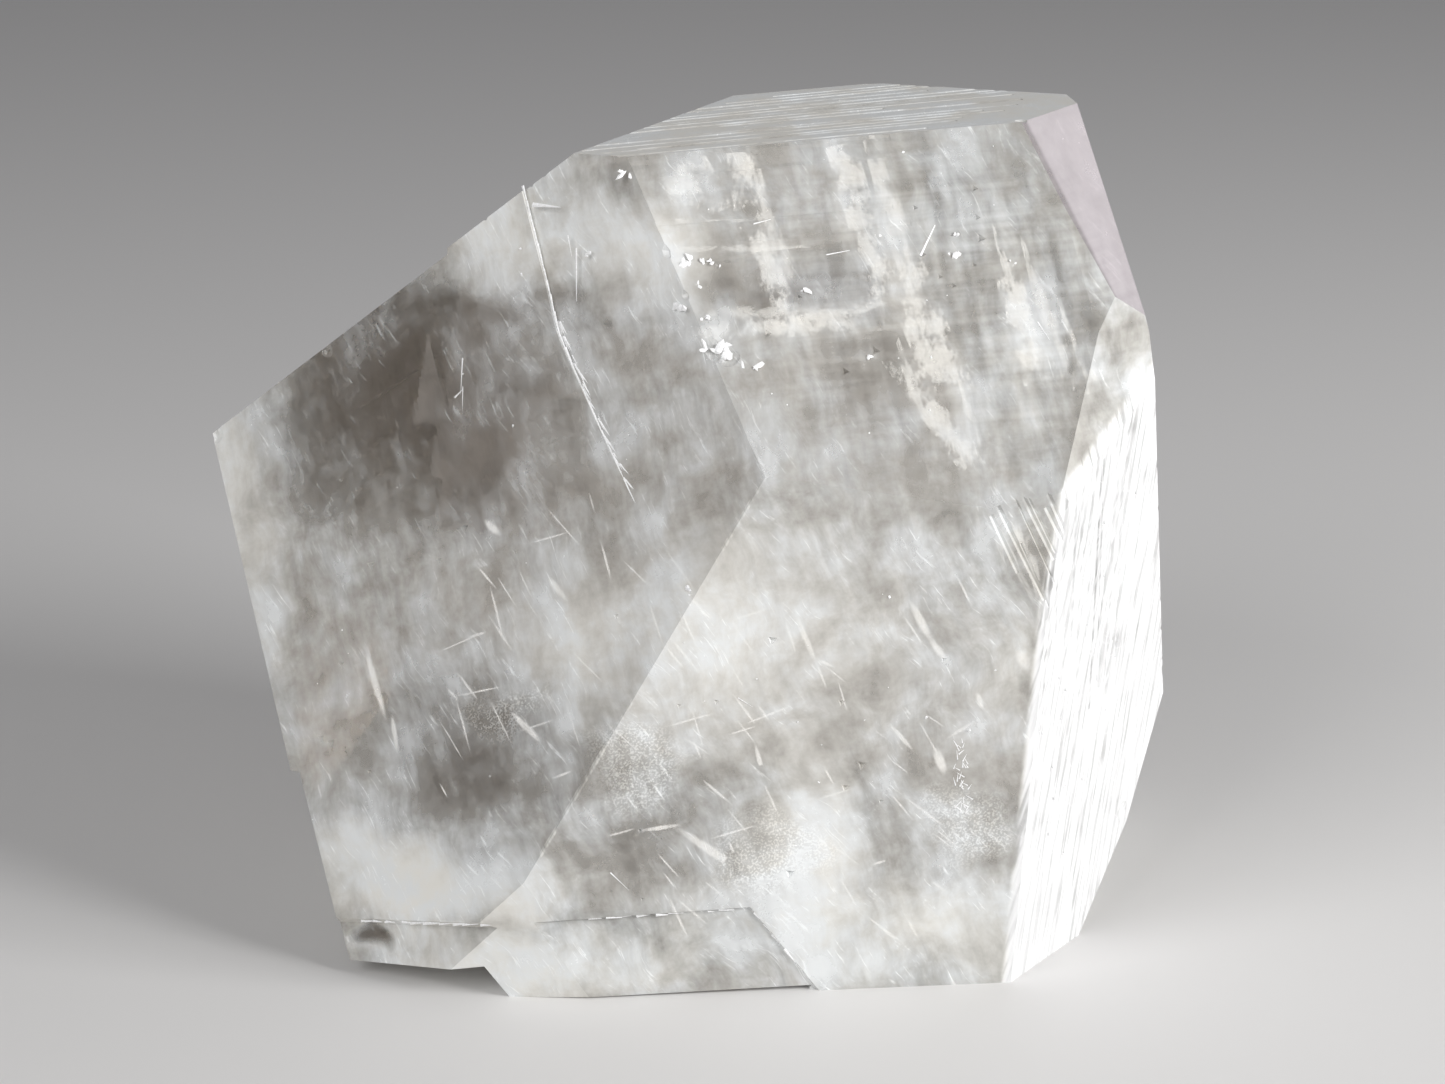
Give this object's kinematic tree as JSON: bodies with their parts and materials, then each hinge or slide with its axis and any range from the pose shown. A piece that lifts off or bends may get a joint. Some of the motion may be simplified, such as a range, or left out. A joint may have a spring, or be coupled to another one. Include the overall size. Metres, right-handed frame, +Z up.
{
  "type": "calcite crystal",
  "caption": "Clear to milky calcite crystal with flat growth faces, a cleaved base to stand on and a stepped, broken back.",
  "frame": {"origin": "centre of the bounding box at the base face the crystal stands on", "axes": "+Z up from the base face, +X to the right along the widest extent, -Y towards the three large glassy front faces"},
  "size_m": [0.0648, 0.0484, 0.0553],
  "materials": {
    "calcite": "glassy faces over a clear to milky inside with white veils, cleavage cracks and a faint lavender corner"
  },
  "bodies": {
    "root": {"calcite_crystal": "calcite"}
  },
  "joints": []
}
